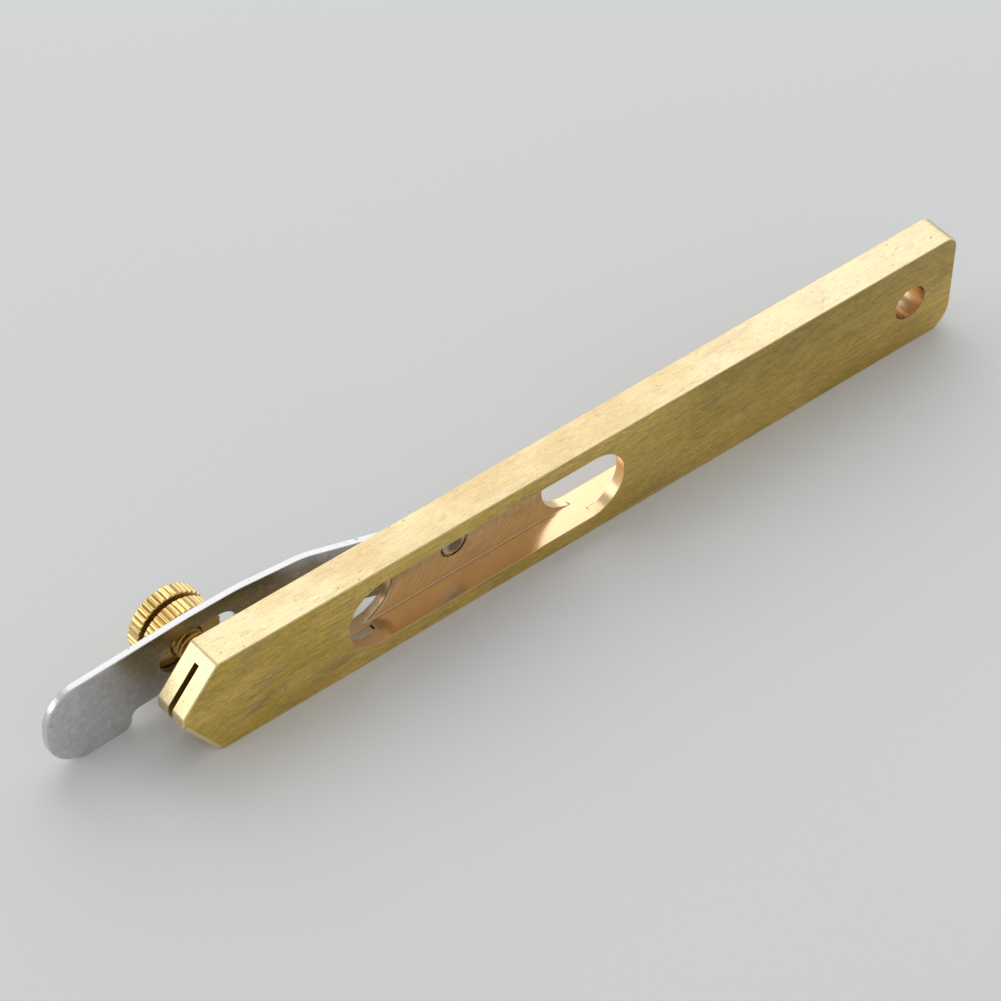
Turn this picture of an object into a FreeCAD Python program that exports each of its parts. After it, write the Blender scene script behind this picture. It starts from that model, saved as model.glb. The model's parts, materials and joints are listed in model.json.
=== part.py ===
import FreeCAD, Part
import math
import os

# Marking gauge with a sprung fence.
# X runs along the bar and the nose points to -X, +Y is the fence side, +Z is up. The origin is on
# the bar's lower edge, at the middle of its length and of its thickness. Lengths in millimetres.

# Bar: flat stock on its narrow edge
BAR_LENGTH, BAR_THICK, BAR_HEIGHT = 121.8, 5.0, 15.0
MID_Z = BAR_HEIGHT / 2
BUTT_TOP_R, BUTT_LOW_R = 2.0, 3.5
NOSE_LENGTH, NOSE_TIP_FLAT, NOSE_TIP_Z = 5.0, 1.6, 8.0
TIP_R, SHOULDER_TOP_R, SHOULDER_LOW_R = 0.8, 0.8, 1.5
EDGE_BREAK, WORN_BREAK = 0.2, 0.6
HANG_HOLE_R, HANG_HOLE_INSET = 2.5, 7.5

# One pocket in the front face and two in the back face, given by their end centres. They are more
# than half the bar's thickness deep, so the front one breaks through where it overlaps the others.
POCKET_R, POCKET_DEPTH, POCKET_FILLET = 5.0, 3.5, 0.3
FRONT_POCKET = (-31.75, 0.75)
BACK_POCKETS = ((-35.0, -32.4), (0.5, 33.0))

# Saw slit for the blade, cut upwards from the lower edge
SLIT_WIDTH, SAW_R, SAW_X, SAW_Z = 0.8, 25.0, -52.3, -10.85

# Fence leaf: bent strip of spring steel
LEAF_THICK, LEAF_LOW_Z, LEAF_TOP_Z = 1.0, 2.5, 12.5
LEAF_REAR_X, NECK_REAR_X, NECK_KINK_X, PLATE_REAR_X = -10.0, -24.3, -36.4, -45.6
PLATE_FRONT_Y, KINK_FRONT_Y, TOE_START_X, TOE_SLOPE = 7.2, 6.4, -52.8, 0.0388
LEAF_TIP_X, STEP_X, STEP_R = -73.7, -61.5, 1.2
REAR_R, TIP_TOP_R, TIP_LOW_R, BEND_R = 3.4, 4.5, 6.5, 3.0
SLOT_R, SLOT_REAR_X, SLOT_FRONT_X = 2.5, -45.8, -57.2

# Leaf screw, M4 pan head
LEAF_SCREW_X, SCREW_R, TAPPED_R, SCREW_PROUD = -18.1, 2.0, 2.05, 0.3
PAN_R, PAN_HEIGHT, PAN_ROUND, DRIVE_WIDTH, DRIVE_DEPTH = 3.5, 2.4, 0.9, 1.0, 1.1

# Clamp screw and thumb nut, both on one axis
AXIS_X, RUNNING_CLEARANCE = -52.45, 0.05
RIM_R, KNURL_DEPTH, RIM_BREAK, LAND_SHARE = 5.0, 0.28, 0.15, 0.42
NUT_FRONT_Y, NUT_BACK_Y, NUT_TEETH = PLATE_FRONT_Y + LEAF_THICK, 10.45, 40
HEAD_FRONT_Y, HEAD_BACK_Y, HEAD_TEETH = 11.15, 13.1, 36
CLAMP_TIP_Y, TIP_BREAK = 0.37, 0.3

# Blade: flat knife with a narrow tail
BLADE_THICK, BLADE_LOW_Z, BLADE_TOP_Z = 0.7, 0.8, 9.6
TAIL_REAR_X, TAIL_TOP_Z, BLADE_HEEL_X = -31.4, 2.4, -41.0
EDGE_TOP_X, POINT_X, POINT_Z, GRIND_WIDTH, EDGE_THICK = -54.6, -56.3, 1.6, 1.5, 0.06

FAR = 100.0


def vec(x, y, z):
    return FreeCAD.Vector(x, y, z)


def plate(outline, y0, y1):
    """Solid between two Y planes from (x, z) corners."""
    wire = Part.makePolygon([vec(x, y0, z) for x, z in outline + outline[:1]])
    return Part.Face(wire).extrude(vec(0, y1 - y0, 0))


def rod(x, z, radius, y0, y1):
    return Part.makeCylinder(radius, y1 - y0, vec(x, y0, z), vec(0, 1, 0))


def cone(x, z, r0, r1, y0, y1):
    return Part.makeCone(r0, r1, y1 - y0, vec(x, y0, z), vec(0, 1, 0))


def racetrack(x0, x1, radius, y0, y1):
    """Slot-shaped solid at mid height, its end centres at x0 and x1."""
    box = Part.makeBox(x1 - x0, y1 - y0, 2 * radius, vec(x0, y0, MID_Z - radius))
    return box.fuse([rod(x, MID_Z, radius, y0, y1) for x in (x0, x1)]).removeSplitter()


def edges_at(shape, wanted):
    """Edges whose middle point passes the test."""
    picked = []
    for edge in shape.Edges:
        middle = edge.valueAt((edge.FirstParameter + edge.LastParameter) / 2)
        if wanted(middle):
            picked.append(edge)
    return picked


def upright_edges(shape, x, z):
    """Edges that run along Y through the corner (x, z)."""
    return edges_at(shape, lambda p: abs(p.x - x) < 0.01 and abs(p.z - z) < 0.01 and abs(p.y) < 0.01)


# ---------------------------------------------------------------- bar

def bar_blank():
    """Flat bar with a blunt arrow nose and rounded butt corners."""
    end = BAR_LENGTH / 2
    half = BAR_THICK / 2
    tip_low, tip_top = NOSE_TIP_Z - NOSE_TIP_FLAT / 2, NOSE_TIP_Z + NOSE_TIP_FLAT / 2
    shoulder = -end + NOSE_LENGTH
    outline = [(shoulder, 0), (end, 0), (end, BAR_HEIGHT), (shoulder, BAR_HEIGHT),
               (-end, tip_top), (-end, tip_low)]
    blank = plate(outline, -half, half)
    for x, z, radius in ((end, 0, BUTT_LOW_R), (end, BAR_HEIGHT, BUTT_TOP_R),
                         (-end, tip_low, TIP_R), (-end, tip_top, TIP_R),
                         (shoulder, 0, SHOULDER_LOW_R), (shoulder, BAR_HEIGHT, SHOULDER_TOP_R)):
        blank = blank.makeFillet(radius, upright_edges(blank, x, z))
    blank = blank.makeChamfer(EDGE_BREAK, edges_at(blank, lambda p: abs(abs(p.y) - half) < 0.01))
    return blank.cut(worn_wedge(shoulder, 0, -end, tip_low, WORN_BREAK))


def worn_wedge(x0, z0, x1, z1, depth):
    """Prism that takes the front corner off the sloping edge from (x0, z0) to (x1, z1)."""
    length = math.hypot(x1 - x0, z1 - z0)
    along = vec((x1 - x0) / length, 0, (z1 - z0) / length)
    inward = vec(along.z, 0, -along.x)
    corner = vec(x0, -BAR_THICK / 2, z0) - along * 4
    points = [corner - inward - vec(0, 1, 0), corner + inward * depth - vec(0, 1, 0),
              corner + inward * depth, corner + vec(0, depth, 0), corner - inward + vec(0, depth, 0)]
    return Part.Face(Part.makePolygon(points + points[:1])).extrude(along * (length + 8))


def countersink(x, z, radius, face_y, inward):
    """Small break where a round hole meets a face."""
    deep, proud = face_y + inward * EDGE_BREAK, face_y - inward * EDGE_BREAK
    if inward > 0:
        return cone(x, z, radius + 2 * EDGE_BREAK, radius, proud, deep)
    return cone(x, z, radius, radius + 2 * EDGE_BREAK, deep, proud)


def blind_pocket(ends, face):
    """Slot-shaped pocket cut from the front (face -1) or the back (face 1)."""
    floor = face * (BAR_THICK / 2 - POCKET_DEPTH)
    low, high = sorted((floor, face * (BAR_THICK / 2 + 1)))
    blank = racetrack(ends[0], ends[1], POCKET_R, low, high)
    return blank.makeFillet(POCKET_FILLET, edges_at(blank, lambda p: abs(p.y - floor) < 0.01))


def make_bar():
    half = BAR_THICK / 2
    hang_x = BAR_LENGTH / 2 - HANG_HOLE_INSET
    tools = [blind_pocket(FRONT_POCKET, -1)] + [blind_pocket(ends, 1) for ends in BACK_POCKETS]
    tools += [rod(hang_x, MID_Z, HANG_HOLE_R, -half - 1, half + 1),
              countersink(hang_x, MID_Z, HANG_HOLE_R, -half, 1),
              countersink(hang_x, MID_Z, HANG_HOLE_R, half, -1),
              rod(LEAF_SCREW_X, MID_Z, TAPPED_R, 0, half + 1),
              rod(AXIS_X, MID_Z, SCREW_R + RUNNING_CLEARANCE, 0, half + 1),
              rod(SAW_X, SAW_Z, SAW_R, -SLIT_WIDTH / 2, SLIT_WIDTH / 2)]
    return bar_blank().cut(tools)


# ---------------------------------------------------------------- leaf

def leaf_band():
    """The bent strip, oversize in Z, before its outline is cut."""
    back = BAR_THICK / 2
    tip_y = PLATE_FRONT_Y - TOE_SLOPE * (TOE_START_X - LEAF_TIP_X + 2)
    front = [(LEAF_REAR_X, back), (NECK_REAR_X, back), (NECK_KINK_X, KINK_FRONT_Y),
             (PLATE_REAR_X, PLATE_FRONT_Y), (TOE_START_X, PLATE_FRONT_Y), (LEAF_TIP_X - 2, tip_y)]
    rear = thickened(front)
    corners = [vec(x, y, -1) for x, y in front + rear[::-1]]
    band = Part.Face(Part.makePolygon(corners + corners[:1])).extrude(vec(0, 0, BAR_HEIGHT + 2))
    bends = front[1:4] + rear[1:4]
    return band.makeFillet(BEND_R, edges_at(band, lambda p: any(
        math.hypot(p.x - x, p.y - y) < 0.01 for x, y in bends) and 0 < p.z < BAR_HEIGHT))


def thickened(path):
    """The path moved by the leaf's thickness towards +Y, mitred at its bends."""
    normals = []
    for (x0, y0), (x1, y1) in zip(path, path[1:]):
        length = math.hypot(x1 - x0, y1 - y0)
        normals.append(((y1 - y0) / length, (x0 - x1) / length))
    moved = []
    for i, (x, y) in enumerate(path):
        nx0, ny0 = normals[max(i - 1, 0)]
        nx1, ny1 = normals[min(i, len(normals) - 1)]
        scale = LEAF_THICK / (1 + nx0 * nx1 + ny0 * ny1)
        moved.append((x + (nx0 + nx1) * scale, y + (ny0 + ny1) * scale))
    return moved


def leaf_outline():
    """The leaf seen from the front: a strip with a deeper, rounded toe."""
    strip = [(LEAF_REAR_X, LEAF_LOW_Z), (LEAF_REAR_X, LEAF_TOP_Z), (LEAF_TIP_X, LEAF_TOP_Z),
             (LEAF_TIP_X, 0), (STEP_X, 0), (STEP_X, LEAF_LOW_Z)]
    blank = plate(strip, -1, FAR)
    for x, z, radius in ((LEAF_REAR_X, LEAF_LOW_Z, REAR_R), (LEAF_REAR_X, LEAF_TOP_Z, REAR_R),
                         (LEAF_TIP_X, LEAF_TOP_Z, TIP_TOP_R), (LEAF_TIP_X, 0, TIP_LOW_R),
                         (STEP_X, 0, STEP_R), (STEP_X, LEAF_LOW_Z, STEP_R)):
        corner = edges_at(blank, lambda p: abs(p.x - x) < 0.01 and abs(p.z - z) < 0.01)
        blank = blank.makeFillet(radius, corner)
    return blank


def make_leaf():
    """The whole leaf, with its screw hole and the slot it moves along the clamp screw by."""
    slot = racetrack(SLOT_FRONT_X + SLOT_R, SLOT_REAR_X - SLOT_R, SLOT_R, 0, FAR)
    hole = rod(LEAF_SCREW_X, MID_Z, TAPPED_R, 0, FAR)
    return leaf_band().common(leaf_outline()).cut([slot, hole])


def leaf_piece(leaf, x0, x1):
    """The stretch of the leaf between two X planes."""
    return leaf.common(Part.makeBox(x1 - x0, FAR, FAR, vec(x0, 0, -1)))


# ---------------------------------------------------------------- turned pieces

def make_leaf_screw():
    seat = BAR_THICK / 2 + LEAF_THICK
    top = seat + PAN_HEIGHT
    end = POCKET_DEPTH - BAR_THICK / 2 - SCREW_PROUD
    shank = rod(LEAF_SCREW_X, MID_Z, SCREW_R, end, seat)
    shank = shank.makeChamfer(TIP_BREAK, edges_at(shank, lambda p: abs(p.y - end) < 0.01))
    head = rod(LEAF_SCREW_X, MID_Z, PAN_R, seat, top)
    head = head.makeFillet(PAN_ROUND, edges_at(head, lambda p: abs(p.y - top) < 0.01))
    drive = Part.makeBox(3 * PAN_R, DRIVE_DEPTH, DRIVE_WIDTH,
                         vec(LEAF_SCREW_X - 1.5 * PAN_R, top - DRIVE_DEPTH, MID_Z - DRIVE_WIDTH / 2))
    return head.cut(drive).fuse(shank)


def knurled_rim(teeth, y0, y1):
    """Straight-knurled disc with both rim edges broken."""
    pitch = 2 * math.pi / teeth
    outline = []
    for i in range(teeth):
        for turn, radius in ((-LAND_SHARE / 2, RIM_R), (LAND_SHARE / 2, RIM_R), (0.5, RIM_R - KNURL_DEPTH)):
            angle = (i + turn) * pitch
            outline.append((AXIS_X + radius * math.cos(angle), MID_Z + radius * math.sin(angle)))
    blank = rod(AXIS_X, MID_Z, RIM_R, y0, y1)
    blank = blank.makeChamfer(RIM_BREAK, edges_at(blank, lambda p: p.y < y0 + 0.01 or p.y > y1 - 0.01))
    return blank.common(plate(outline, y0 - 1, y1 + 1))


def make_thumb_nut():
    bore = rod(AXIS_X, MID_Z, SCREW_R + RUNNING_CLEARANCE, 0, FAR)
    return knurled_rim(NUT_TEETH, NUT_FRONT_Y, NUT_BACK_Y).cut(bore)


def make_clamp_screw():
    shank = rod(AXIS_X, MID_Z, SCREW_R, CLAMP_TIP_Y, HEAD_FRONT_Y + 0.5)
    shank = shank.makeChamfer(TIP_BREAK, edges_at(shank, lambda p: abs(p.y - CLAMP_TIP_Y) < 0.01))
    return knurled_rim(HEAD_TEETH, HEAD_FRONT_Y, HEAD_BACK_Y).fuse(shank)


# ---------------------------------------------------------------- blade

def edge_grind(side):
    """Wedge that thins one side of the blade towards its cutting edge."""
    top, point = vec(EDGE_TOP_X, 0, BLADE_TOP_Z), vec(POINT_X, 0, POINT_Z)
    along = (point - top).normalize()
    inward = vec(-along.z, 0, along.x)
    start = top - along * 2
    outer = vec(0, side * BLADE_THICK, 0)
    points = [start + vec(0, side * EDGE_THICK / 2, 0),
              start + inward * GRIND_WIDTH + vec(0, side * BLADE_THICK / 2, 0),
              start + inward * GRIND_WIDTH + outer, start - inward + outer,
              start - inward + vec(0, side * EDGE_THICK / 2, 0)]
    return Part.Face(Part.makePolygon(points + points[:1])).extrude(along * FAR)


def make_blade():
    outline = [(TAIL_REAR_X, BLADE_LOW_Z), (TAIL_REAR_X, TAIL_TOP_Z), (BLADE_HEEL_X + 0.8, TAIL_TOP_Z),
               (BLADE_HEEL_X, TAIL_TOP_Z + 0.8), (BLADE_HEEL_X, BLADE_TOP_Z), (EDGE_TOP_X, BLADE_TOP_Z),
               (POINT_X, POINT_Z), (POINT_X + 0.4, BLADE_LOW_Z)]
    blank = plate(outline, -BLADE_THICK / 2, BLADE_THICK / 2)
    return blank.cut([edge_grind(1), edge_grind(-1)])


leaf = make_leaf()
nodes = {
    "bar": make_bar(),
    "leaf_root": leaf_piece(leaf, NECK_REAR_X, FAR),
    "leaf_neck": leaf_piece(leaf, PLATE_REAR_X, NECK_REAR_X),
    "fence_plate": leaf_piece(leaf, -FAR, PLATE_REAR_X),
    "leaf_screw": make_leaf_screw(),
    "clamp_screw": make_clamp_screw(),
    "thumb_nut": make_thumb_nut(),
    "blade": make_blade(),
}
os.makedirs("parts", exist_ok=True)
for name, shape in nodes.items():
    shape = shape.removeSplitter().Solids[0]
    shape.exportStep("parts/" + name + ".step")
    print(name, shape.ShapeType, len(shape.Solids), shape.isValid(), round(shape.Volume, 2),
          [round(v, 2) for v in (shape.BoundBox.XMin, shape.BoundBox.XMax, shape.BoundBox.YMin,
                                 shape.BoundBox.YMax, shape.BoundBox.ZMin, shape.BoundBox.ZMax)])
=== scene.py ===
import json
import math
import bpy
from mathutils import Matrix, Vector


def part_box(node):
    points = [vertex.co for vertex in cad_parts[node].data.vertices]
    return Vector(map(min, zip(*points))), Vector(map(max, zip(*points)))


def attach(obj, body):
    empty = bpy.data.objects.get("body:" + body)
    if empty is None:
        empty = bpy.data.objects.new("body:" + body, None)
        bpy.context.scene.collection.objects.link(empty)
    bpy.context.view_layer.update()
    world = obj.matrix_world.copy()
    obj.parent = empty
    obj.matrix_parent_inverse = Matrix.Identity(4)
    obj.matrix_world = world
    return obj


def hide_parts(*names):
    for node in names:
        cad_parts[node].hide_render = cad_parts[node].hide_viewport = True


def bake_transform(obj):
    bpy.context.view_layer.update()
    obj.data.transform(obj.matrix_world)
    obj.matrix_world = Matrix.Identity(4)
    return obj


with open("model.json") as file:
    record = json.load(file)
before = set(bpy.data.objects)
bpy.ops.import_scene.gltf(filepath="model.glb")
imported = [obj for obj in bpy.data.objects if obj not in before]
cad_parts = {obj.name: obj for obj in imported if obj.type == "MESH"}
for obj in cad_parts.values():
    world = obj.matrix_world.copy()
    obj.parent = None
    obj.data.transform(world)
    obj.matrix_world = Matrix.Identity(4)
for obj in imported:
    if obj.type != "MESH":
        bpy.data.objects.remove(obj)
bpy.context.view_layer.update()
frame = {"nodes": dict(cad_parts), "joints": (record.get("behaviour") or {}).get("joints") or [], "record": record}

from types import SimpleNamespace

import bmesh
import bpy
from mathutils import Matrix, Vector

# Marking gauge with a sprung fence: the photo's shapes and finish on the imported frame.
# Shapes are made in the design's millimetres, X along the bar with the nose at -X and +Y the fence
# side, and are turned into metres when each piece is finished.
MM = 0.001


def mm_box(node):
    """A CAD node's lowest and highest corners in millimetres."""
    low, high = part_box(node)
    return low / MM, high / MM


# ------------------------------------------------------------------ sizes, in millimetres
BAR_LOW, BAR_HIGH = mm_box("bar")
HALF = BAR_HIGH.y
HEIGHT = BAR_HIGH.z
MID_Z = HEIGHT / 2
NOSE_X, BUTT_X = BAR_LOW.x, BAR_HIGH.x
NOSE_LENGTH = 5.0
SHOULDER_X = NOSE_X + NOSE_LENGTH
TIP_LOW_Z, TIP_TOP_Z = 7.2, 8.8
BUTT_TOP_R, BUTT_LOW_R = 2.0, 3.5
TIP_R, SHOULDER_TOP_R, SHOULDER_LOW_R = 0.8, 0.8, 1.5

# How much the edges are rounded: in general, where the nose is worn, and at the front of the butt.
# FLATNESS says how far the worn edge is a flat slope instead of a round.
EDGE_BREAK, WORN_BREAK, BUTT_BREAK, FLATNESS = 0.2, 0.62, 0.36, 0.85

# Pockets, given by their end centres. HAIR is a small overlap, so that no two faces coincide.
POCKET_R, POCKET_DEPTH, POCKET_FILLET = 5.0, 3.5, 0.3
FRONT_POCKET = (-31.75, 0.75)
BACK_POCKETS = ((-35.0, -32.4), (0.5, 33.0))
HOLE_FLARE, WORN_LIP_R, HAIR = 0.05, 0.55, 0.02
MOUNTS = {mount["name"]: mount for mount in frame["record"]["mounts"]}
HANG = Vector(MOUNTS["hang_hole"]["pos_m"]) / MM
HANG_R = MOUNTS["hang_hole"]["dims"]["r_mm"]
SAW_X, SAW_Z, SAW_R, SLIT_HALF = -52.3, -10.85, 25.0, 0.4

JOINTS = {joint["name"]: joint for joint in frame["joints"]}
AXIS = Vector(JOINTS["clamp_turn"]["pos_m"]) / MM
LEAF_SCREW_LOW, LEAF_SCREW_HIGH = mm_box("leaf_screw")
LEAF_SCREW_X = (LEAF_SCREW_LOW.x + LEAF_SCREW_HIGH.x) / 2
NUT_LOW, NUT_HIGH = mm_box("thumb_nut")
CLAMP_LOW, CLAMP_HIGH = mm_box("clamp_screw")
RIM_R = (NUT_HIGH.z - NUT_LOW.z) / 2
NUT_TEETH, HEAD_TEETH, HEAD_FRONT_Y = 40, 36, 11.15
PITCH, THREAD_DEPTH = 0.7, 0.4
SHANK_R, CLEARANCE = 2.0, 0.05
TAPPED_R = SHANK_R + CLEARANCE
DRIVE_WIDTH, DRIVE_DEPTH = 1.0, 1.1

ROOT_LOW, ROOT_HIGH = mm_box("leaf_root")
NECK_LOW, NECK_HIGH = mm_box("leaf_neck")
PLATE_LOW, PLATE_HIGH = mm_box("fence_plate")
LEAF_THICK, LEAF_EDGE_R = 1.0, 0.14
LEAF_LOW_Z, LEAF_TOP_Z = ROOT_LOW.z, ROOT_HIGH.z
LEAF_SLOT, LEAF_SLOT_R = (-54.7, -48.3), 2.5
# TOE_LEAN is how far the tip leans past its flat outline once the toe is bent
TOE_LEAN, STEP_X = 0.035, -61.5
NECK_SLOPE, KINK_SLOPE, TOE_SLOPE = 0.3223, 0.08696, -0.0388
NECK_KINK_X, TOE_START_X = -36.4, -52.8


# ------------------------------------------------------------------ mesh helpers
def linked(obj):
    """The object, put into the scene."""
    bpy.context.scene.collection.objects.link(obj)
    return obj


def evaluated_mesh(obj):
    """The object's mesh with its modifiers applied."""
    bpy.context.view_layer.update()
    return bpy.data.meshes.new_from_object(obj.evaluated_get(bpy.context.evaluated_depsgraph_get()))


def rough_solid(name, bm, unit=1.0, sharp=28.0):
    """Makes an object from a bmesh in millimetres, smooth save at edges of over sharp degrees."""
    bmesh.ops.remove_doubles(bm, verts=bm.verts, dist=1e-5)
    bmesh.ops.dissolve_degenerate(bm, edges=bm.edges, dist=1e-5)
    bmesh.ops.recalc_face_normals(bm, faces=bm.faces)
    bmesh.ops.transform(bm, matrix=Matrix.Scale(unit, 4), verts=bm.verts)
    mesh = bpy.data.meshes.new(name)
    bm.to_mesh(mesh)
    bm.free()
    mesh.polygons.foreach_set("use_smooth", [True] * len(mesh.polygons))
    mesh.set_sharp_from_angle(angle=math.radians(sharp))
    return linked(bpy.data.objects.new(name, mesh))


def finish_mesh(name, bm, sharp=28.0):
    """The finished piece, in metres."""
    return rough_solid(name, bm, MM, sharp)


def carve(obj, cutters):
    """Cuts each cutter out of the object and returns the bmesh, all in millimetres."""
    for cutter in cutters:
        cut = obj.modifiers.new("cut", "BOOLEAN")
        cut.object = cutter
        cut.operation = "DIFFERENCE"
        cut.solver = "EXACT"
    bm = bmesh.new()
    bm.from_mesh(evaluated_mesh(obj))
    for used in (obj, *cutters):
        bpy.data.objects.remove(used)
    return bm


def even_shading(obj):
    """Keeps flat faces flat beside their rounded edges."""
    weighted = obj.modifiers.new("normals", "WEIGHTED_NORMAL")
    weighted.keep_sharp = True
    weighted.weight = 90
    mesh = evaluated_mesh(obj)
    obj.modifiers.clear()
    obj.data = mesh
    return obj


def loft(name, rings):
    """Solid in millimetres through closed rings that have the same number of points."""
    bm = bmesh.new()
    rows = [[bm.verts.new(p) for p in ring] for ring in rings]
    count = len(rings[0])
    for low, high in zip(rows, rows[1:]):
        for i in range(count):
            j = (i + 1) % count
            bm.faces.new((low[i], low[j], high[j], high[i]))
    bm.faces.new(rows[0])
    bm.faces.new(rows[-1][::-1])
    return rough_solid(name, bm)


def even_turns(count):
    """Angles in radians, evenly round one turn."""
    return [2 * math.pi * i / count for i in range(count)]


def circle(x, z, radius, y, count=96):
    """Ring round the point (x, z), at y."""
    return [(x + radius * math.cos(t), y, z + radius * math.sin(t)) for t in even_turns(count)]


def racetrack(x0, x1, radius, y, count=40):
    """Slot-shaped ring at mid height and at y, its end centres at x0 and x1."""
    points = []
    for centre, start in ((x1, -math.pi / 2), (x0, math.pi / 2)):
        for i in range(count + 1):
            turn = start + math.pi * i / count
            points.append((centre + radius * math.cos(turn), y, MID_Z + radius * math.sin(turn)))
    return points


def lathe(bm, centre, profile, turns, limit=None, closed=False):
    """Surface of revolution about a Y axis from (y, radius) stations; limit caps the radius at
    each turn, and closed joins the last station to the first."""
    x, z = centre
    rows = []
    for y, radius in profile:
        if radius < 1e-6:  # on the axis, so one point
            rows.append([bm.verts.new((x, y, z))])
            continue
        reach = [min(radius, cap) for cap in limit] if limit else [radius] * len(turns)
        rows.append([bm.verts.new((x + r * math.cos(turn), y, z + r * math.sin(turn)))
                     for r, turn in zip(reach, turns)])
    pairs = list(zip(rows, rows[1:])) + ([(rows[-1], rows[0])] if closed else [])
    for low, high in pairs:
        count = max(len(low), len(high))
        for i in range(count):
            j = (i + 1) % count
            corners = [low[i % len(low)], low[j % len(low)],
                       high[j % len(high)], high[i % len(high)]]
            face = [v for k, v in enumerate(corners) if v not in corners[:k]]
            if len(face) > 2:
                bm.faces.new(face)


def arc_stations(y, r, radius, start, end, count=5):
    """(y, radius) stations round an arc centred at (y, r); the angle is 0 at +radius, 90 at +Y."""
    turns = [math.radians(start + (end - start) * i / count) for i in range(count + 1)]
    return [(y + radius * math.sin(t), r + radius * math.cos(t)) for t in turns]


def share(value, start, end):
    """How far value has gone from start to end, 0 to 1."""
    return min(max((value - start) / (end - start), 0.0), 1.0)


def offset_loop(points, distance):
    """The closed loop moved to its left by a distance."""
    moved = []
    for i, (x, z) in enumerate(points):
        (x0, z0), (x1, z1) = points[i - 1], points[(i + 1) % len(points)]
        length = math.hypot(x1 - x0, z1 - z0)
        moved.append((x - (z1 - z0) / length * distance, z + (x1 - x0) / length * distance))
    return moved


# ------------------------------------------------------------------ bar
def rounded_corner(before, corner, after, radius, count):
    """Points round a corner of an outline."""
    corner = Vector(corner)
    back = (Vector(before) - corner).normalized()
    ahead = (Vector(after) - corner).normalized()
    half_angle = back.angle(ahead) / 2
    centre = corner + (back + ahead).normalized() * radius / math.sin(half_angle)
    start = corner + back * radius / math.tan(half_angle) - centre
    turn = (math.pi - 2 * half_angle) / count
    return [tuple(centre + Matrix.Rotation(turn * i, 2) @ start) for i in range(count + 1)]


def rounded_outline():
    """The bar's side outline as (x, z) points, anticlockwise."""
    corners = [(NOSE_X, TIP_TOP_Z, TIP_R), (NOSE_X, TIP_LOW_Z, TIP_R),
               (SHOULDER_X, 0.0, SHOULDER_LOW_R), (BUTT_X, 0.0, BUTT_LOW_R),
               (BUTT_X, HEIGHT, BUTT_TOP_R), (SHOULDER_X, HEIGHT, SHOULDER_TOP_R)]
    points = []
    for i, (x, z, radius) in enumerate(corners):
        before, after = corners[i - 1][:2], corners[(i + 1) % len(corners)][:2]
        count = 12 if radius >= BUTT_TOP_R else 6
        points += rounded_corner(before, (x, z), after, radius, count)
    return points


def nose_wear(x, z):
    """1 along the nose's lower side, 0 round the rest of the outline."""
    below_tip = share(z, TIP_LOW_Z + 0.25, TIP_LOW_Z - 0.2)
    return below_tip * share(x, SHOULDER_X + 0.8, SHOULDER_X - 0.4)


def bar_blank():
    """The bar without its holes. The edges of its two faces are rounded over, a little more at the
    front of the butt, and the nose's lower front edge is worn to a flat slope."""
    outline = rounded_outline()
    inner = offset_loop(outline, 1.0)
    worn = [nose_wear(x, z) for x, z in outline]
    widths = [EDGE_BREAK + (WORN_BREAK - EDGE_BREAK) * wear
              + (BUTT_BREAK - EDGE_BREAK) * share(x, BUTT_X - 2, BUTT_X)
              for (x, _), wear in zip(outline, worn)]

    def ring(widths, worn, step, side):
        """The outline at a step round its edge, from 0 on the face to 1 on the side."""
        turn = math.radians(90 * step)
        points = []
        for (x, z), (u, v), width, wear in zip(outline, inner, widths, worn):
            flat = FLATNESS * wear
            inset = width * (flat * (1 - step) + (1 - flat) * (1 - math.sin(turn)))
            deep = width * (flat * step + (1 - flat) * (1 - math.cos(turn)))
            points.append((x + (u - x) * inset, side * (HALF - deep), z + (v - z) * inset))
        return points

    steps = [i / 4 for i in range(5)]
    front = [ring(widths, worn, step, -1) for step in steps]
    plain, unworn = [EDGE_BREAK] * len(outline), [0.0] * len(outline)
    back = [ring(plain, unworn, step, 1) for step in reversed(steps)]
    return loft("blank", front + back)


def pocket_cutter(ends, side, radius):
    """A long pocket cut from the front (side -1) or the back (side 1): small flare at its mouth,
    round corner at its floor."""
    beyond = 0.6
    rings = [(beyond, HALF + beyond - HOLE_FLARE), (0.0, HALF - HOLE_FLARE)]
    for i in range(7):
        turn = math.radians(90 * i / 6)
        rings.append((-POCKET_FILLET * (1 - math.cos(turn)),
                      HALF - POCKET_DEPTH + POCKET_FILLET * (1 - math.sin(turn))))
    return loft("pocket_cutter",
                [racetrack(*ends, radius + grow, side * y) for grow, y in rings])


def worn_lip():
    """Eases the floor of the front pocket over into the window at its nose end."""
    x, floor_y = BACK_POCKETS[0][1], POCKET_DEPTH - HALF
    rings = [(WORN_LIP_R, -HAIR)]
    for i in range(9):
        turn = math.radians(90 * i / 8)
        rings.append((WORN_LIP_R * (1 - math.sin(turn)), WORN_LIP_R * (1 - math.cos(turn))))
    return loft("worn_lip", [circle(x + shift, MID_Z, POCKET_R - 2 * HAIR, floor_y + depth)
                             for shift, depth in rings])


def hole_cutter(x, radius, y0, y1, flare0=0.0, flare1=0.0):
    """Round hole from y0 to y1, flared where it leaves a face."""
    beyond = 0.5
    stations = []
    if flare0:
        stations.append((y0 - beyond, radius + flare0 + beyond))
    stations += [(y0 + flare0, radius), (y1 - flare1, radius)]
    if flare1:
        stations.append((y1 + beyond, radius + flare1 + beyond))
    return loft("hole_cutter", [circle(x, MID_Z, r, y) for y, r in stations])


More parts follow.
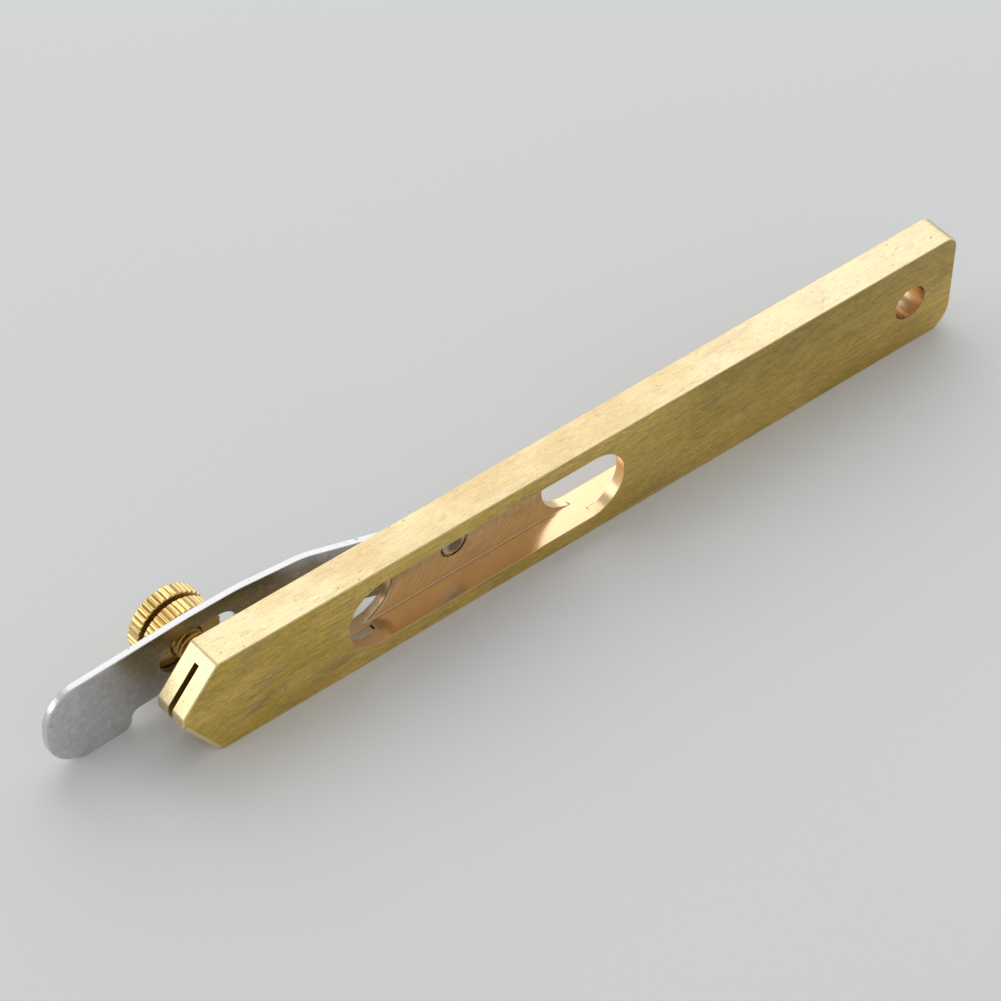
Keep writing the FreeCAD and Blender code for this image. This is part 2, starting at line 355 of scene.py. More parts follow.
def make_bar():
    """The bar with its pockets, its blade slit, the hang hole and the two screw holes."""
    saw = loft("saw", [circle(SAW_X, SAW_Z, SAW_R, y, 256) for y in (-SLIT_HALF, SLIT_HALF)])
    cutters = [pocket_cutter(FRONT_POCKET, -1, POCKET_R), saw, worn_lip()]
    cutters += [pocket_cutter(ends, 1, POCKET_R - HAIR) for ends in BACK_POCKETS]
    cutters += [hole_cutter(HANG.x, HANG_R, -HALF, HALF, HOLE_FLARE, HOLE_FLARE),
                hole_cutter(LEAF_SCREW_X, TAPPED_R, 0.0, HALF + 1),
                hole_cutter(AXIS.x, TAPPED_R, 0.0, HALF, 0.0, HOLE_FLARE)]
    return even_shading(finish_mesh("bar_body", carve(bar_blank(), cutters), sharp=35.0))


# ------------------------------------------------------------------ leaf
# Each bend's X, and the leaf's slope before and after it
BENDS = [(NECK_HIGH.x, 0.0, NECK_SLOPE), (NECK_KINK_X, NECK_SLOPE, KINK_SLOPE),
         (PLATE_HIGH.x, KINK_SLOPE, 0.0), (TOE_START_X, 0.0, TOE_SLOPE)]
BEND_REACH = 1.1
FINE_BAND, WIDE_BAND = 0.35, 1.4


def leaf_line(x):
    """Front-face Y and its slope towards the nose at x, with the bends rounded."""
    y, slope = HALF, 0.0
    for bend_x, before, after in BENDS:
        t = share(x, bend_x + BEND_REACH, bend_x - BEND_REACH)
        y += (after - before) * (BEND_REACH * t * t + max(bend_x - BEND_REACH - x, 0.0))
        slope += (after - before) * t
    return y, slope


def arc_points(x, z, radius, start, end, count=14):
    """(x, z) points round an arc; the angles are in degrees, from +X towards +Z."""
    turns = [math.radians(start + (end - start) * i / count) for i in range(count + 1)]
    return [(x + radius * math.cos(t), z + radius * math.sin(t)) for t in turns]


def leaf_outline():
    """Outer outline as (x, z), anticlockwise: rounded rear end, toe with rounded corners, step."""
    rear, tip, step = ROOT_HIGH.x, PLATE_LOW.x + TOE_LEAN, STEP_X
    rear_r, tip_r, toe_r, step_r = 3.4, 4.5, 6.5, 1.2
    top, low, toe = LEAF_TOP_Z, LEAF_LOW_Z, PLATE_LOW.z
    points = arc_points(rear - rear_r, top - rear_r, rear_r, 0, 90)
    points += arc_points(tip + tip_r, top - tip_r, tip_r, 90, 180)
    points += arc_points(tip + toe_r, toe + toe_r, toe_r, 180, 270, 20)
    points += arc_points(step - step_r, toe + step_r, step_r, 270, 360, 8)
    points += arc_points(step + step_r, low - step_r, step_r, 180, 90, 8)
    points += arc_points(rear - rear_r, low + rear_r, rear_r, -90, 0)
    return points


def flat_leaf():
    """The strip before it is bent, with its slot and hole, as a bmesh."""
    slot = [(x, z) for x, _, z in racetrack(*LEAF_SLOT, LEAF_SLOT_R, 0, 24)][::-1]
    hole = [(x, z) for x, _, z in circle(LEAF_SCREW_X, MID_Z, TAPPED_R, 0, 48)][::-1]
    section = []
    for angle in (90, 60, 30, 0):
        turn = math.radians(angle)
        section.append((LEAF_EDGE_R * (1 - math.cos(turn)), LEAF_EDGE_R * (1 - math.sin(turn))))
    section += [(inset, LEAF_THICK - depth) for inset, depth in section[::-1]]
    bm = bmesh.new()
    for loop in (leaf_outline(), slot, hole):
        rows = [[bm.verts.new((x, depth, z)) for x, z in offset_loop(loop, inset)]
                for inset, depth in section]
        for low, high in zip(rows, rows[1:]):
            for i in range(len(loop)):
                j = (i + 1) % len(loop)
                bm.faces.new((low[i], low[j], high[j], high[i]))
    bm.edges.ensure_lookup_table()
    for depth in (0.0, LEAF_THICK):
        rim = [e for e in bm.edges if all(abs(v.co.y - depth) < 1e-6 for v in e.verts)]
        bmesh.ops.triangle_fill(bm, edges=rim, use_beauty=True)
    return bm


def make_leaf():
    """The flat strip, cut into narrow bands so that it can bend, then laid along its bent line."""
    bm = flat_leaf()
    x = PLATE_LOW.x + WIDE_BAND / 2
    while x < ROOT_HIGH.x - 0.3:
        geometry = bm.verts[:] + bm.edges[:] + bm.faces[:]
        bmesh.ops.bisect_plane(bm, geom=geometry, dist=1e-5, plane_co=(x, 0, 0), plane_no=(1, 0, 0))
        x += FINE_BAND if NECK_LOW.x - 9 < x < NECK_HIGH.x + 2 else WIDE_BAND
    for vert in bm.verts:
        y, slope = leaf_line(vert.co.x)
        length = math.hypot(1.0, slope)
        vert.co = (vert.co.x + vert.co.y * slope / length, y + vert.co.y / length, vert.co.z)
    return finish_mesh("leaf", bm, sharp=35.0)


# ------------------------------------------------------------------ turned pieces
def thread(bm, centre, y0, y1, run_in0, run_in1, columns=64, rows_per_turn=10):
    """Right-hand screw thread from y0 to y1; its depth runs out over run_in0 and run_in1. crest
    and root are the flats, as parts of the pitch."""
    crest, root = 0.125, 0.25
    shape = [share(abs(j / rows_per_turn - 0.5), crest / 2, 0.5 - root / 2)
             for j in range(rows_per_turn)]
    count = math.ceil(((y1 - y0) / PITCH + 1) * rows_per_turn)
    grid = []
    for i in range(columns + 1):
        turn = 2 * math.pi * i / columns
        column = []
        for j in range(count + 1):
            y = min(max(y0 + PITCH * (j / rows_per_turn - i / columns), y0), y1)
            full = min(1.0, (y - y0) / run_in0, (y1 - y) / run_in1)
            depth = THREAD_DEPTH * (1 - full * (1 - shape[j % rows_per_turn]))
            radius = SHANK_R - depth
            column.append(bm.verts.new((centre[0] + radius * math.cos(turn), y,
                                        centre[1] + radius * math.sin(turn))))
        grid.append(column)
    for left, right in zip(grid, grid[1:]):
        for j in range(count):
            bm.faces.new((left[j], left[j + 1], right[j + 1], right[j]))


def knurl(teeth, depth=0.28, land=0.42):
    """Turns and radii round a straight-knurled rim: V grooves between slightly rounded lands.
    land is the part of each tooth's width that is not groove."""
    groove = (1 - land) / 2
    shape = ((0.0, depth), (groove * 0.5, depth * 0.52), (groove, 0.02), (groove + 0.06, 0.0),
             (0.5, 0.0), (0.94 - groove, 0.0), (1 - groove, 0.02), (1 - groove * 0.5, depth * 0.52))
    turns, radii = [], []
    for tooth in range(teeth):
        for t, drop in shape:
            turns.append(2 * math.pi * (tooth + t - 0.5) / teeth)
            radii.append(RIM_R - drop)
    return turns, radii


def rim_stations(y0, y1, corner=0.16, bore=0.0):
    """Stations over a rim from its front face to its back face, corners rounded off."""
    rings = (bore, 1.2, 2.6, 3.9, RIM_R - corner - 0.25)
    stations = [(y0, radius) for radius in rings if radius >= bore]
    stations += [(y0 + 0.02, RIM_R - corner), (y0 + 0.06, RIM_R - 0.07), (y0 + corner, RIM_R)]
    middle = (y0 + y1) / 2
    mirrored = [(2 * middle - y, r) for y, r in stations[::-1]]
    return stations + [(middle, RIM_R)] + mirrored


def make_thumb_nut():
    """Knurled ring with a plain bore, widened at both mouths."""
    turns, radii = knurl(NUT_TEETH)
    bm = bmesh.new()
    mouth = 0.25
    stations = rim_stations(NUT_LOW.y, NUT_HIGH.y, bore=TAPPED_R + mouth)
    stations += [(NUT_HIGH.y - mouth, TAPPED_R), (NUT_LOW.y + mouth, TAPPED_R)]
    lathe(bm, (AXIS.x, AXIS.z), stations, turns, radii, closed=True)
    return finish_mesh("thumb_nut_turned", bm, sharp=24.0)


def make_clamp_screw():
    """Knurled head on a threaded shank, whose tip reaches the blade."""
    turns, radii = knurl(HEAD_TEETH)
    centre = (AXIS.x, AXIS.z)
    bm = bmesh.new()
    # the far face has a small cone at its middle, from the lathe's centre
    cone_r, cone_deep = 0.7, 0.35
    stations = rim_stations(HEAD_FRONT_Y, CLAMP_HIGH.y)[:-1]
    stations += [(CLAMP_HIGH.y, cone_r), (CLAMP_HIGH.y - cone_deep, 0.0)]
    lathe(bm, centre, stations, turns, radii)
    root, tip, chamfer = SHANK_R - THREAD_DEPTH, CLAMP_LOW.y, 0.15
    thread(bm, centre, tip + chamfer, HEAD_FRONT_Y + HAIR, 0.45, 0.5)
    tip_stations = [(tip, 0.0), (tip, root - 0.25), (tip + chamfer, root)]
    lathe(bm, centre, tip_stations, even_turns(64))
    return finish_mesh("clamp_screw_turned", bm, sharp=24.0)


def pan_head(centre, seat, top):
    """The leaf screw's head with its driver slot, as a bmesh."""
    x, z = centre
    head_r = (LEAF_SCREW_HIGH.z - LEAF_SCREW_LOW.z) / 2
    low_r, high_r = 0.2, 1.0
    bm = bmesh.new()
    stations = [(seat, 0.0), (seat, 1.7), (seat, head_r - low_r)]
    stations += arc_stations(seat + low_r, head_r - low_r, low_r, -90, 0, 4)
    stations += arc_stations(top - high_r, head_r - high_r, high_r, 8, 84, 8)
    stations += [(top, 1.4), (top, 0.0)]
    lathe(bm, centre, stations, even_turns(96))
    # the driver slot runs right across, and its mouth is chamfered
    half, beyond, reach, chamfer = DRIVE_WIDTH / 2, 0.5, 5, 0.08
    rings = []
    for y, w in ((top + beyond, half + beyond), (top - chamfer, half), (top - DRIVE_DEPTH, half)):
        rings.append([(x + dx, y, z + dz)
                      for dx, dz in ((-reach, -w), (reach, -w), (reach, w), (-reach, w))])
    return carve(rough_solid("head", bm), [loft("driver_slot", rings)])


def make_leaf_screw():
    """Head, thread and cropped end, which is domed and stands a little out of the pocket's floor."""
    centre = (LEAF_SCREW_X, MID_Z)
    seat, end = HALF + LEAF_THICK, LEAF_SCREW_LOW.y
    bm = pan_head(centre, seat, LEAF_SCREW_HIGH.y)
    crown, crown_r, rim_r = 0.34, 1.5, 0.24
    rim_end, thread_start = end + 0.66, end + 0.72
    thread(bm, centre, thread_start, seat + HAIR, 0.12, 0.5)
    rings = [crown_r * i / 5 for i in range(6)]
    stations = [(end + crown * (r / crown_r) ** 2, r) for r in rings]
    stations += arc_stations(end + crown + 0.2, crown_r, rim_r, -55, 0, 5)
    stations += [(rim_end, crown_r + rim_r), (thread_start, SHANK_R - THREAD_DEPTH)]
    lathe(bm, centre, stations, even_turns(64))
    return finish_mesh("leaf_screw_turned", bm, sharp=26.0)


# ------------------------------------------------------------------ materials
class Surface:
    """A procedural material round one Principled shader, in the piece's own millimetres."""

    def __init__(self, name, **sockets):
        self.material = bpy.data.materials.new(name)
        self.material.use_nodes = True
        self.tree = self.material.node_tree
        self.tree.nodes.clear()
        output = self.tree.nodes.new("ShaderNodeOutputMaterial")
        self.shader = self.tree.nodes.new("ShaderNodeBsdfPrincipled")
        self.tree.links.new(self.shader.outputs[0], output.inputs[0])
        for socket, value in sockets.items():
            self.shader.inputs[socket.replace("_", " ")].default_value = value
        coordinates = self.tree.nodes.new("ShaderNodeTexCoord")
        self.place = self.scaled(coordinates.outputs["Object"], (1 / MM, 1 / MM, 1 / MM))
        self.normal_y = self.split(coordinates.outputs["Normal"])[1]
        self.facing = self.math("ABSOLUTE", self.normal_y)

    def node(self, kind, settings=None, **inputs):
        node = self.tree.nodes.new("ShaderNode" + kind)
        for key, value in (settings or {}).items():
            setattr(node, key, value)
        for key, value in inputs.items():
            self.plug(value, node.inputs[key.replace("_", " ")])
        return node

    def plug(self, value, socket):
        if isinstance(value, bpy.types.NodeSocket):
            self.tree.links.new(value, socket)
        else:
            socket.default_value = value

    def set(self, socket, value):
        self.plug(value, self.shader.inputs[socket])

    def scaled(self, vector, scale):
        node = self.node("VectorMath", {"operation": "MULTIPLY"})
        self.plug(vector, node.inputs[0])
        node.inputs[1].default_value = scale
        return node.outputs[0]

    def split(self, vector):
        node = self.node("SeparateXYZ")
        self.plug(vector, node.inputs[0])
        return node.outputs

    def math(self, operation, a, b=0.0, c=0.0):
        node = self.node("Math", {"operation": operation})
        for value, socket in zip((a, b, c), node.inputs):
            self.plug(value, socket)
        return node.outputs[0]

    def plus(self, a, b):
        return self.math("ADD", a, b)

    def minus(self, a, b):
        return self.math("SUBTRACT", a, b)

    def times(self, a, b):
        return self.math("MULTIPLY", a, b)

    def rest_of(self, share):
        """What a share from 0 to 1 leaves over."""
        return self.minus(1.0, share)

    def hypot(self, a, b):
        return self.math("SQRT", self.plus(self.times(a, a), self.times(b, b)))

    def ripples(self, distance, pitch):
        """Waves from -1 to 1, one for each pitch of distance."""
        return self.math("SINE", self.times(distance, 2 * math.pi / pitch))

    def noise(self, scale, detail, roughness, distortion=0.0, shift=(0, 0, 0)):
        """Noise 0 to 1; scale is features per millimetre along X, Y and Z."""
        moved = self.node("VectorMath")
        self.plug(self.scaled(self.place, scale), moved.inputs[0])
        moved.inputs[1].default_value = shift
        node = self.node("TexNoise", Vector=moved.outputs[0], Scale=1.0, Detail=detail,
                         Roughness=roughness, Distortion=distortion)
        return node.outputs["Fac"]

    def span(self, value, low, high, out_low=0.0, out_high=1.0):
        """value from low to high, eased into out_low to out_high."""
        node = self.node("MapRange", {"interpolation_type": "SMOOTHSTEP"}, Value=value)
        for socket, number in zip(("From Min", "From Max", "To Min", "To Max"),
                                  (low, high, out_low, out_high)):
            self.plug(number, node.inputs[socket])
        return node.outputs[0]

    def mix(self, share, a, b, blend="MIX"):
        """Colour a to b by share."""
        node = self.node("Mix", {"data_type": "RGBA", "blend_type": blend})
        self.plug(share, node.inputs[0])
        for value, socket in ((a, node.inputs[6]), (b, node.inputs[7])):
            self.plug((*value, 1.0) if isinstance(value, tuple) else value, socket)
        return node.outputs[2]

    def shaded(self, colour, shade):
        """The colour multiplied by a number."""
        grey = self.node("CombineColor", Red=shade, Green=shade, Blue=shade).outputs[0]
        return self.mix(1.0, colour, grey, "MULTIPLY")

    def lerp(self, share, a, b):
        """Number a to b by share."""
        node = self.node("Mix")
        self.plug(share, node.inputs[0])
        self.plug(a, node.inputs[2])
        self.plug(b, node.inputs[3])
        return node.outputs[0]

    def bump(self, height, distance_mm, below=None):
        node = self.node("Bump", Height=height, Strength=1.0, Distance=distance_mm * MM)
        if below is not None:
            self.plug(below, node.inputs["Normal"])
        return node.outputs[0]


# The bar's brass is built up in steps: where it has been cut, what marks it carries, its colours,
# its roughness and its relief. x and y are in the bar, and rise is the height over its middle line.
def slot_reach(s, x, rise, ends):
    """Distance from the middle line of a slot-shaped pocket."""
    first, last = ends
    over = s.minus(x, s.math("MINIMUM", s.math("MAXIMUM", x, first), last))
    return s.hypot(over, rise)


def cut_regions(s, x, y, rise):
    """Masks of the pockets and of the hang hole, where the metal is as the cutter left it."""
    skin = HALF - 0.03
    rim = POCKET_R + 0.1, POCKET_R + 0.02
    front = s.span(slot_reach(s, x, rise, FRONT_POCKET), *rim)
    front = s.times(front, s.math("LESS_THAN", y, skin))
    back = s.span(s.math("MINIMUM", *[slot_reach(s, x, rise, ends) for ends in BACK_POCKETS]), *rim)
    back = s.times(back, s.math("GREATER_THAN", y, -skin))
    hang = s.span(slot_reach(s, x, rise, (HANG.x, HANG.x)), HANG_R + 0.12, HANG_R + 0.03)
    return s.math("MAXIMUM", front, back), hang


def cutter_arcs(s, x, y, rise, wander):
    """The cutter's arcs across a pocket floor, which bow towards the butt."""
    bow = s.math("SQRT", s.math("MAXIMUM", s.minus(POCKET_R ** 2, s.times(rise, rise)), 0.01))
    along = s.plus(s.minus(x, bow), wander)
    sweep = s.node("CombineXYZ", X=s.times(along, 5.5), Y=s.times(rise, 0.5), Z=s.times(y, 0.5))
    noise = s.node("TexNoise", Vector=sweep.outputs[0], Scale=1.0, Detail=3.0, Roughness=0.7)
    return noise.outputs["Fac"]


def bar_marks(s):
    """Bands and streaks drawn along the bar, scratches, smudges, stains and pits."""
    return SimpleNamespace(
        band=s.noise((0.06, 2.4, 2.4), 3.0, 0.6, 0.2),
        streak=s.noise((0.8, 7.0, 7.0), 4.0, 0.72, 0.2, shift=(3, 1, 7)),
        scratch=s.span(s.noise((0.6, 7.0, 7.0), 3.0, 0.6, 0.4, shift=(17, 5, 2)), 0.62, 0.74),
        glint=s.span(s.noise((0.8, 7.5, 7.5), 3.0, 0.6, 0.5, shift=(7, 15, 12)), 0.64, 0.76),
        tooth=s.noise((5.0, 5.0, 5.0), 3.0, 0.7, shift=(14, 2, 11)),
        cloud=s.noise((0.07, 0.12, 0.16), 3.0, 0.6, shift=(9, 4, 2)),
        smudge=s.span(s.noise((0.13, 0.42, 0.42), 4.0, 0.62, 0.6, shift=(2, 8, 5)), 0.50, 0.72),
        stain=s.span(s.noise((0.30, 0.9, 0.9), 5.0, 0.66, 0.9, shift=(21, 3, 8)), 0.56, 0.70),
        specks=s.span(s.noise((1.5, 2.2, 2.2), 2.0, 0.5, shift=(31, 7, 3)), 0.71, 0.77))


def narrow_brass(s, x, marks):
    """Top, bottom and ends: pale, partly as painted highlight, paler towards the butt and palest on the nose."""
    colour = s.mix(s.span(marks.cloud, 0.36, 0.62), (0.80, 0.66, 0.39), (0.68, 0.52, 0.28))
    colour = s.mix(s.span(x, 12, 42, 0.0, 0.6), colour, (0.82, 0.70, 0.46))
    colour = s.mix(s.times(marks.smudge, 0.55), colour, (0.64, 0.48, 0.32))
    # painted highlight: the nose facets are lightened
    nose = s.span(x, SHOULDER_X + 0.2, SHOULDER_X - 0.4, 0.0, 0.85)
    colour = s.mix(nose, colour, (0.98, 0.81, 0.47))
    return s.mix(s.times(marks.stain, 0.52), colour, (0.52, 0.37, 0.24))


def broad_brass(s, x, marks):
    """Front and back: olive, deeper towards the butt, and less olive behind."""
    colour = s.mix(s.span(marks.cloud, 0.36, 0.62), (0.70, 0.50, 0.11), (0.84, 0.61, 0.175))
    colour = s.mix(s.times(marks.smudge, 0.60), colour, (0.47, 0.35, 0.20))
    colour = s.mix(s.times(marks.stain, 0.45), colour, (0.38, 0.28, 0.17))
    colour = s.mix(s.span(x, NOSE_X + 15, BUTT_X, 0.0, 0.35), colour, (0.52, 0.37, 0.12))
    behind = s.span(s.normal_y, 0.5, 0.9, 0.0, 0.55)
    return s.mix(behind, colour, (0.76, 0.60, 0.32))


def bar_shade(s, x, rise, broad, marks):
    """How much the marks and a painted shade darken or lighten the brass; the marks are stronger on the broad
    faces.
    """
    depth = s.lerp(broad, 0.45, 1.0)
    # painted shade: the upper part of the broad faces darkens towards the butt
    painted_top_shade = s.times(s.times(s.span(x, 5, 26), s.span(rise, -3, 6)), broad)
    shade = s.lerp(depth, 1.0, s.span(marks.band, 0.3, 0.7, 0.90, 1.06))
    for layer in (s.lerp(painted_top_shade, 1.0, 0.74),
                  s.lerp(depth, 1.0, s.span(marks.streak, 0.28, 0.70, 0.74, 1.14)),
                  s.span(marks.tooth, 0.3, 0.7, 0.90, 1.07),
                  s.lerp(s.times(marks.scratch, depth), 1.0, 0.62),
                  s.lerp(s.times(marks.glint, depth), 1.0, 1.22)):
        shade = s.times(shade, layer)
    return shade


def milled_brass(s, rise, floor_only, hang, edge, arcs, marks):
    """Inside the cuts: coppery walls, swept floors that darken upwards with painted shadow, rounded edges darkened
    with painted shade, and a hang hole darkened with painted shade.
    """
    walls = s.mix(marks.cloud, (0.93, 0.68, 0.41), (0.87, 0.60, 0.33))
    walls = s.mix(s.times(marks.stain, 0.30), walls, (0.62, 0.38, 0.20))
    swept = s.mix(s.span(arcs, 0.34, 0.66), (0.60, 0.43, 0.25), (0.80, 0.60, 0.38))
    # painted shadow: the floor darkens upwards, under the pocket's upper wall
    swept = s.mix(s.span(rise, -1, 3.5, 0.0, 0.55), swept, (0.36, 0.25, 0.14))
    swept = s.mix(s.times(marks.smudge, 0.3), swept, (0.42, 0.27, 0.15))
    colour = s.mix(floor_only, walls, swept)
    # painted shade: the rounded edges in the cuts are darker
    colour = s.mix(s.times(edge, 0.68), colour, (0.45, 0.30, 0.17))
    # painted shade: the hang hole is darkened
    return s.mix(s.times(hang, 0.5), colour, (0.36, 0.25, 0.15))


def bar_roughness(s, x, broad, milled, floor_only, marks):
    """Satin outside and smoother in the cuts, except on the walls at the nose end."""
    outside = s.lerp(broad, 0.34, 0.40)
    outside = s.plus(outside, s.span(marks.streak, 0.3, 0.7, 0.06, -0.05))
    outside = s.plus(outside, s.times(marks.smudge, 0.06))
    walls = s.span(x, FRONT_POCKET[0] + 1.5, FRONT_POCKET[0] - 1.5, 0.24, 0.55)
    return s.lerp(milled, outside, s.lerp(floor_only, walls, 0.30))


def bar_relief(s, y, wander, arcs, floor_only, wall_only, outer, marks):
    """The cutter's marks inside, and lines, scratches and pits outside."""
    chatter = s.ripples(s.plus(y, s.times(wander, 0.2)), 0.33)
    cut = s.times(s.times(arcs, 1.2), floor_only)
    cut = s.math("MULTIPLY_ADD", s.times(chatter, wall_only), 0.35, cut)
    normal = s.bump(cut, 0.006)
    lines = s.plus(s.minus(marks.streak, s.times(marks.scratch, 0.6)), s.times(marks.tooth, 0.5))
    normal = s.bump(s.times(lines, outer), 0.014, normal)
    pits = s.times(marks.specks, s.times(outer, -1.0))
    return s.bump(pits, 0.03, normal)


def brass_bar():
    """Handled brass outside and milled brass in the cuts, lighter along the bar's edges, partly from wear and
    partly as painted highlight.
    """
    s = Surface("brass_bar_finish", Metallic=1.0)
    x, y, z = s.split(s.place)
    rise = s.minus(z, MID_Z)
    broad = s.span(s.facing, 0.75, 0.97)
    edge = s.times(s.span(s.facing, 0.08, 0.3), s.rest_of(s.span(s.facing, 0.90, 0.985)))
    pocket, hang = cut_regions(s, x, y, rise)
    milled = s.math("MAXIMUM", pocket, hang)
    flat = s.span(s.facing, 0.8, 0.95)
    floor_only = s.times(pocket, flat)
    wall_only = s.times(milled, s.rest_of(flat))
    wander = s.times(s.noise((0.3, 0.3, 0.3), 2.0, 0.5), 0.6)
    arcs = cutter_arcs(s, x, y, rise, wander)
    marks = bar_marks(s)

    # painted highlight in part: the narrow faces take the paler brass, the broad faces the olive
    colour = s.mix(broad, narrow_brass(s, x, marks), broad_brass(s, x, marks))
    # worn brass and painted highlight: the rounded edges are lighter
    colour = s.mix(s.times(edge, 0.85), colour, (1.0, 0.84, 0.46))
    colour = s.shaded(colour, bar_shade(s, x, rise, broad, marks))
    colour = s.mix(s.times(marks.specks, 0.62), colour, (0.16, 0.10, 0.05))
    copper = milled_brass(s, rise, floor_only, hang, edge, arcs, marks)
    s.set("Base Color", s.mix(milled, colour, copper))
    s.set("Roughness", bar_roughness(s, x, broad, milled, floor_only, marks))
    outer = s.rest_of(milled)
    s.set("Normal", bar_relief(s, y, wander, arcs, floor_only, wall_only, outer, marks))
    return s.material


def brass_turned(name, groove_shade):
    """Bright turned brass; painted shade darkens the bottoms of the knurl's grooves."""
    s = Surface(name, Metallic=1.0)
    x, _, z = s.split(s.place)
    reach = s.hypot(s.minus(x, AXIS.x), s.minus(z, AXIS.z))
    face = s.span(s.facing, 0.85, 0.98)
    cloud = s.noise((0.35, 0.35, 0.35), 3.0, 0.6)
    grain = s.noise((5.0, 5.0, 5.0), 3.0, 0.6, shift=(4, 2, 8))
    colour = s.mix(cloud, (0.86, 0.66, 0.30), (0.74, 0.54, 0.22))
    # painted shade in the bottoms of the knurl's grooves
    groove = s.times(s.span(reach, RIM_R - 0.12, RIM_R - 0.27), s.rest_of(face))
    colour = s.mix(s.times(groove, 0.5), colour, groove_shade)
    stain = s.span(s.noise((0.8, 0.8, 0.8), 4.0, 0.65, shift=(6, 1, 1)), 0.58, 0.75)
    s.set("Base Color", s.mix(s.times(stain, 0.35), colour, (0.42, 0.27, 0.10)))
    s.set("Roughness", s.plus(s.span(grain, 0.3, 0.7, 0.20, 0.30), s.times(stain, 0.1)))
    rings = s.ripples(s.plus(reach, s.times(grain, 0.03)), 0.16)
    normal = s.bump(s.times(rings, face), 0.004)
    s.set("Normal", s.bump(grain, 0.006, normal))
    return s.material


def spring_steel():
    """Tumbled strip: matt grey faces with small pits, brighter drawn marks on its sheared edges, and a painted
    reflection that darkens it near the bar and lightens the toe.
    """
    s = Surface("spring_steel_finish", Metallic=1.0)
    x, _, _ = s.split(s.place)
    face = s.span(s.facing, 0.7, 0.92)
    cloud = s.noise((0.12, 0.2, 0.16), 4.0, 0.6, 0.4)
    mottle = s.noise((1.1, 1.1, 1.1), 4.0, 0.65, shift=(5, 2, 9))
    grain = s.noise((7.0, 7.0, 7.0), 3.0, 0.6, shift=(1, 7, 3))
    pits = s.span(s.noise((1.5, 1.5, 1.5), 3.0, 0.6, shift=(12, 3, 4)), 0.66, 0.74)
    colour = s.mix(cloud, (0.66, 0.655, 0.65), (0.54, 0.54, 0.55))
    colour = s.mix(s.span(mottle, 0.35, 0.7, 0.0, 0.6), colour, (0.44, 0.44, 0.445))
    # painted reflection: darker near the bar and lighter towards the toe
    colour = s.shaded(colour, s.span(x, STEP_X + 4, STEP_X - 4, 0.84, 1.16))
    colour = s.mix(face, (0.66, 0.65, 0.645), colour)
    s.set("Base Color", s.mix(s.times(pits, 0.55), colour, (0.16, 0.16, 0.17)))
    s.set("Roughness", s.plus(s.lerp(face, 0.34, 0.29), s.span(mottle, 0.3, 0.7, -0.03, 0.04)))
    drawn = s.times(s.noise((3.0, 0.6, 3.0), 3.0, 0.6, shift=(8, 8, 1)), s.rest_of(face))
    normal = s.bump(drawn, 0.02)
    normal = s.bump(grain, 0.006, normal)
    s.set("Normal", s.bump(s.times(pits, -1.0), 0.02, normal))
    return s.material


def screw_steel():
    """Bright turned steel. The cropped end carries a painted dark reflection at its middle and is polished round
    its rim.
    """
    s = Surface("screw_steel_finish", Metallic=1.0)
    x, y, z = s.split(s.place)
    reach = s.hypot(s.minus(x, LEAF_SCREW_X), s.minus(z, MID_Z))
    cloud = s.noise((0.5, 0.5, 0.5), 3.0, 0.6)
    grain = s.noise((6.0, 6.0, 6.0), 3.0, 0.6, shift=(2, 2, 5))
    steel = s.mix(cloud, (0.66, 0.67, 0.69), (0.54, 0.55, 0.57))
    # painted reflection: the middle of the cropped end is darkened
    cropped = s.times(s.span(reach, 1.35, 0.75), s.math("LESS_THAN", y, HALF))
    s.set("Base Color", s.mix(s.times(cropped, 0.85), steel, (0.13, 0.12, 0.10)))
    s.set("Roughness", s.span(grain, 0.3, 0.7, 0.06, 0.15))
    rings = s.ripples(s.plus(reach, s.times(cloud, 0.08)), 0.19)
    s.set("Normal", s.bump(grain, 0.004, s.bump(rings, 0.003)))
    return s.material


def blade_steel():
    """Ground across its width, and a little smoother on the grind of the cutting edge."""
    s = Surface("blade_steel_finish", Metallic=1.0)
    ground = s.span(s.facing, 0.98, 0.995)
    lines = s.noise((14.0, 2.0, 0.35), 3.0, 0.6)
    cloud = s.noise((0.3, 0.3, 0.3), 3.0, 0.6, shift=(3, 3, 1))
    s.set("Base Color", s.mix(cloud, (0.95, 0.94, 0.93), (0.84, 0.83, 0.82)))
    s.set("Roughness", s.plus(s.lerp(ground, 0.16, 0.26), s.span(lines, 0.3, 0.7, -0.03, 0.05)))
    s.set("Normal", s.bump(lines, 0.006))
    return s.material


def floor_paper():
    s = Surface("floor_paper", Roughness=0.75, Specular_IOR_Level=0.25)
    cloud = s.noise((0.006, 0.006, 0.006), 3.0, 0.5)
    tooth = s.noise((2.2, 2.2, 2.2), 2.0, 0.5, shift=(5, 5, 5))
    s.set("Base Color", s.mix(cloud, (0.70, 0.70, 0.695), (0.73, 0.73, 0.725)))
    s.set("Normal", s.bump(tooth, 0.02))
    return s.material


def paint(obj, material):
    if len(obj.data.materials) == 0:
        obj.data.materials.append(material)
    for slot in obj.material_slots:
        slot.material = material
    return obj


# ------------------------------------------------------------------ pieces on their bodies
bar = paint(make_bar(), brass_bar())
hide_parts("bar")
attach(bar, "bar")

leaf = paint(make_leaf(), spring_steel())
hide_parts("leaf_root", "leaf_neck", "fence_plate")
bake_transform(leaf)

leaf_screw = paint(make_leaf_screw(), screw_steel())
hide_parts("leaf_screw")
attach(leaf_screw, "bar")

clamp_screw = paint(make_clamp_screw(), brass_turned("clamp_brass", (0.50, 0.30, 0.10)))
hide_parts("clamp_screw")
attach(clamp_screw, "clamp")

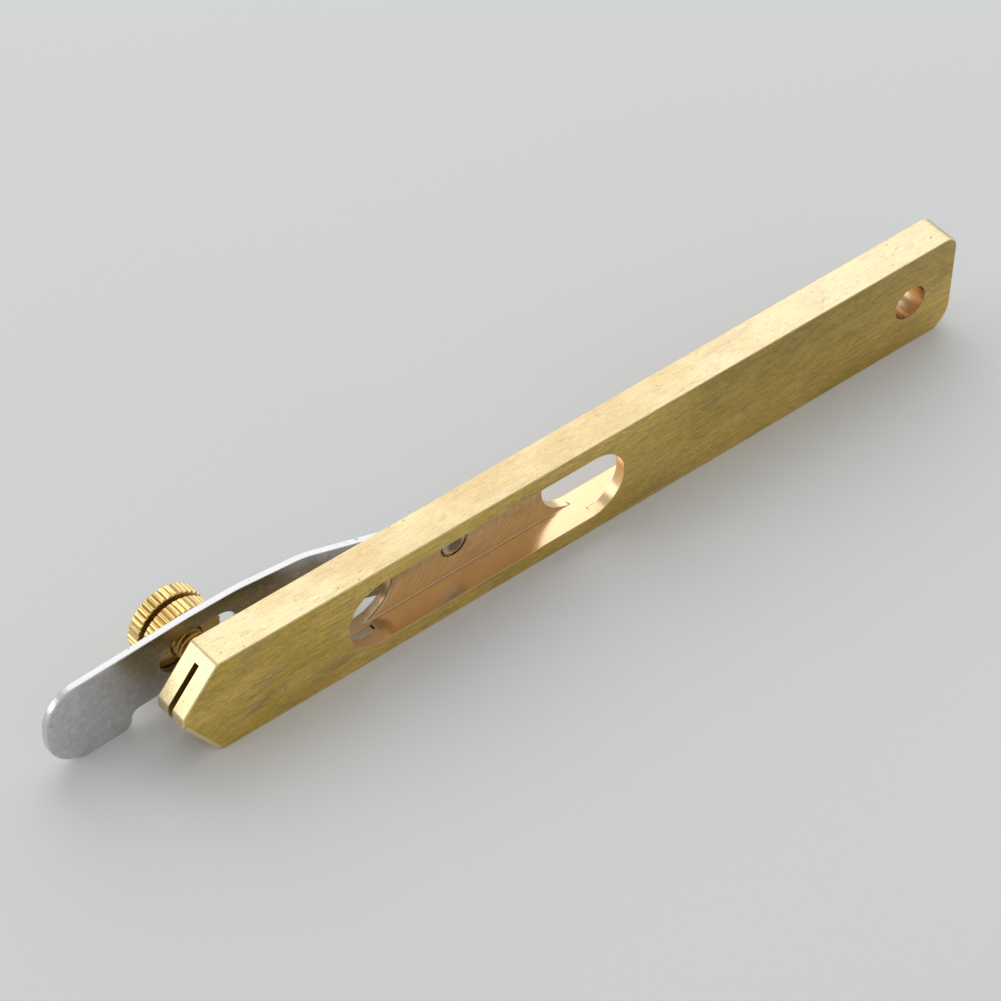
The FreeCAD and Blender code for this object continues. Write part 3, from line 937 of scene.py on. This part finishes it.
thumb_nut = paint(make_thumb_nut(), brass_turned("nut_brass", (0.55, 0.35, 0.12)))
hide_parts("thumb_nut")
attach(thumb_nut, "nut")

paint(frame["nodes"]["blade"], blade_steel())


# ------------------------------------------------------------------ floor, light and camera
FLOOR_HALF_WIDTH, FLOOR_DROP = 4000.0, 0.02


def make_floor():
    bm = bmesh.new()
    bmesh.ops.create_grid(bm, x_segments=8, y_segments=8, size=FLOOR_HALF_WIDTH)
    bmesh.ops.translate(bm, vec=(0, 0, -FLOOR_DROP), verts=bm.verts)
    return paint(finish_mesh("floor", bm), floor_paper())


make_floor()


def area_light(name, direction, distance, size, power):
    """Soft light at a distance along a direction, facing the object; metres and watts."""
    data = bpy.data.lights.new(name, "AREA")
    data.shape = "RECTANGLE"
    data.size, data.size_y = size
    data.energy = power
    light = linked(bpy.data.objects.new(name, data))
    away = Vector(direction).normalized()
    light.location = away * distance
    light.rotation_euler = away.to_track_quat("Z", "Y").to_euler()


area_light("key", (0.46, 0.52, 0.72), distance=1.1, size=(1.6, 1.4), power=6.6)
area_light("side", (-0.80, 0.52, 0.33), distance=1.0, size=(0.8, 0.5), power=2.0)

world = bpy.data.worlds.new("studio")
bpy.context.scene.world = world
world.use_nodes = True
sky = world.node_tree.nodes["Background"]
sky.inputs["Color"].default_value = (0.95, 0.97, 1.0, 1.0)
sky.inputs["Strength"].default_value = 0.6

# The photo's camera: its place in metres and its directions, as fitted to the bar's corners
CAMERA_AT = Vector((-0.25313, -0.27521, 0.39028))
FORWARD = Vector((0.45811391, 0.522553, -0.7190758)).normalized()
RIGHT = Vector((0.76865453, -0.6391669, 0.02521675)).normalized()
camera_data = bpy.data.cameras.new("camera")
camera_data.lens = 159.2
camera_data.sensor_width = 36.0
camera_data.clip_start = 0.02
camera_data.clip_end = 50.0
camera = linked(bpy.data.objects.new("camera", camera_data))
turned = Matrix((RIGHT, RIGHT.cross(FORWARD), -FORWARD)).transposed().to_4x4()
camera.matrix_world = Matrix.Translation(CAMERA_AT) @ turned
bpy.context.scene.camera = camera
bpy.context.scene.view_settings.view_transform = "Standard"
